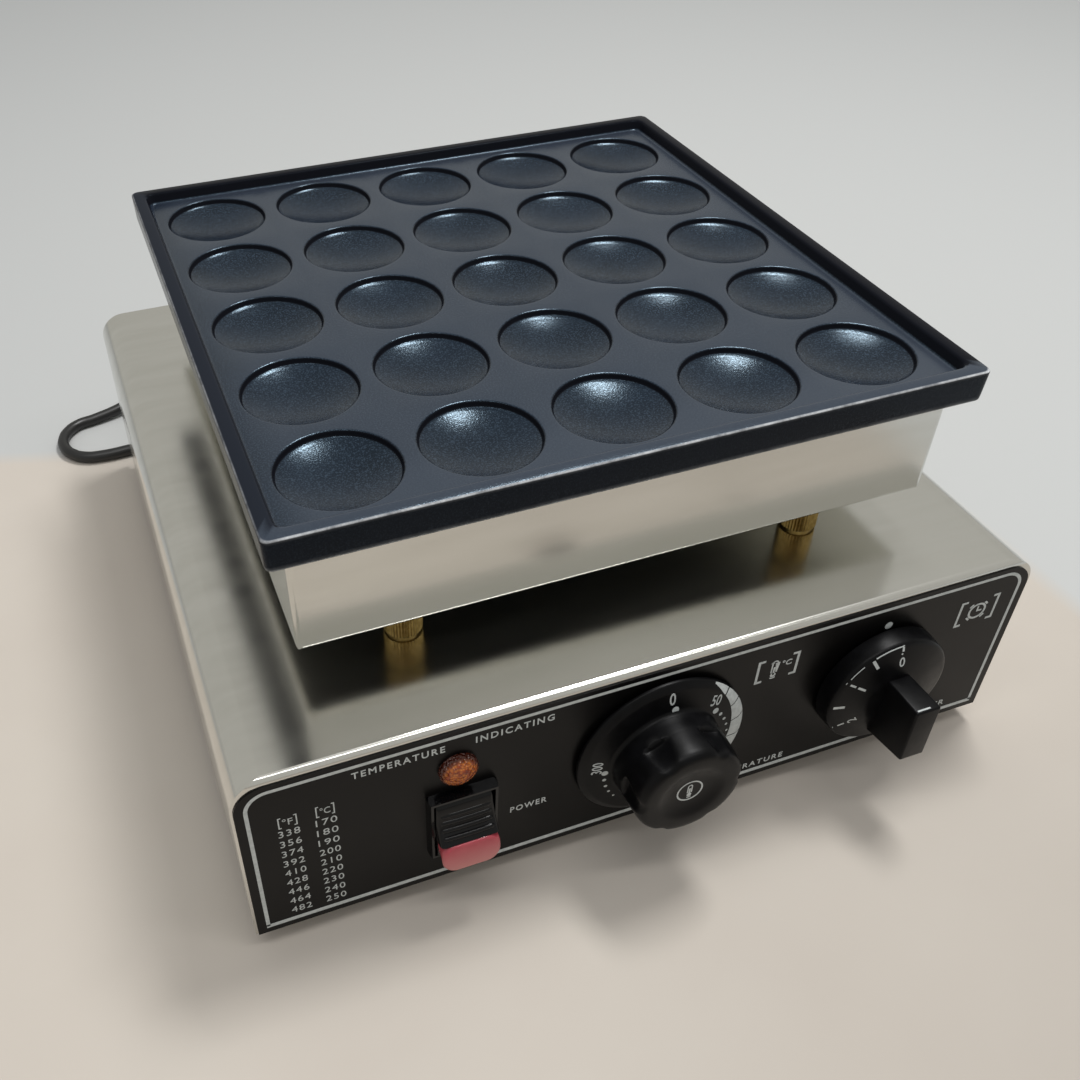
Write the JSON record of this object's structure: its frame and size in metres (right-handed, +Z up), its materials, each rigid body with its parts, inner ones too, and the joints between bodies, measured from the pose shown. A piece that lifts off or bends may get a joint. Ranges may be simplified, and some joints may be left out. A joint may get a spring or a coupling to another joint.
{
  "type": "mini pancake maker",
  "caption": "Countertop electric pancake maker: dished cast plate on a heater box, raised on knurled spacers above a steel base with rocker switch, thermostat and timer knobs.",
  "frame": {"origin": "on the floor, under the middle of the outline from the front of the timer knob to the rear edge of the base", "axes": "+X to the right seen from the controls, +Y to the back, +Z up; the control panel faces -Y"},
  "size_m": [0.3581, 0.4304, 0.1693],
  "materials": {
    "coated_plate": "black non-stick coat, semi-gloss",
    "stainless_sheet": "satin stainless",
    "zinc_steel": "zinc plated",
    "sheath_steel": "heat-tinted",
    "knurled_brass": "satin",
    "copper": "bare copper",
    "pin_nickel": "nickel plated",
    "porcelain": "unglazed",
    "fibre_board": "pressed mineral fibre",
    "overlay_film": "satin printed film",
    "black_gloss": "glossy black",
    "black_satin": "satin black",
    "red_lens": "translucent red",
    "amber_lens": "translucent amber",
    "pale_plastic": "moulded",
    "wire_sleeve": "glass-fibre sleeve",
    "black_rubber": "matte rubber"
  },
  "bodies": {
    "machine": {"grill_plate": "coated_plate", "plate_screws": "zinc_steel", "heater_box": "stainless_sheet", "heating_element": "sheath_steel", "element_terminals": "porcelain", "clamp_bars": "zinc_steel", "clamp_screws": "zinc_steel", "sensor_bulb": "copper", "bulb_clip": "zinc_steel", "insulation_board": "fibre_board", "standoffs": "knurled_brass", "standoff_bolts": "zinc_steel", "standoff_washers": "zinc_steel", "standoff_nuts": "zinc_steel", "wire_conduit": "zinc_steel", "conduit_nuts": "zinc_steel", "base_shell": "stainless_sheet", "control_overlay": "overlay_film", "back_panel": "stainless_sheet", "back_screws": "zinc_steel", "bottom_plate": "stainless_sheet", "bottom_screws": "zinc_steel", "rubber_feet": "black_rubber", "foot_screws": "zinc_steel", "foot_nuts": "zinc_steel", "switch_housing": "black_gloss", "switch_terminals": "knurled_brass", "lamp_lens": "amber_lens", "lamp_body": "pale_plastic", "lamp_nut": "pale_plastic", "thermostat_body": "pale_plastic", "thermostat_screws": "zinc_steel", "capillary_tube": "copper", "timer_body": "pale_plastic", "timer_screws": "zinc_steel", "terminal_block": "porcelain", "heater_wires": "wire_sleeve", "mains_wires": "wire_sleeve", "control_wires": "wire_sleeve", "earth_stud": "knurled_brass", "strain_relief": "black_rubber", "gland_nut": "black_satin", "cord_lead": "black_rubber", "cord_hank": "black_rubber", "cord_tie": "black_rubber", "cord_tail": "black_rubber", "plug_body": "black_rubber", "plug_pins": "pin_nickel"},
    "thermostat_dial": {"thermostat_knob": "black_satin", "thermostat_cap": "black_satin", "thermostat_shaft": "zinc_steel"},
    "timer_dial": {"timer_knob": "black_satin", "timer_shaft": "zinc_steel"},
    "rocker": {"rocker_button": "black_gloss", "rocker_lens": "red_lens"}
  },
  "joints": [
    {"name": "thermostat_turn", "type": "hinge", "parent": "machine", "child": "thermostat_dial", "pos_m": [-0.001, -0.14505, 0.0527], "axis": [0, -1, 0], "range_deg": [0, 250]},
    {"name": "timer_turn", "type": "hinge", "parent": "machine", "child": "timer_dial", "pos_m": [0.095, -0.14505, 0.0527], "axis": [0, 1, 0], "range_deg": [0, 300]},
    {"name": "rocker_tilt", "type": "hinge", "parent": "machine", "child": "rocker", "pos_m": [-0.08, -0.14205, 0.045], "axis": [1, 0, 0], "range_deg": [0, 16]}
  ]
}
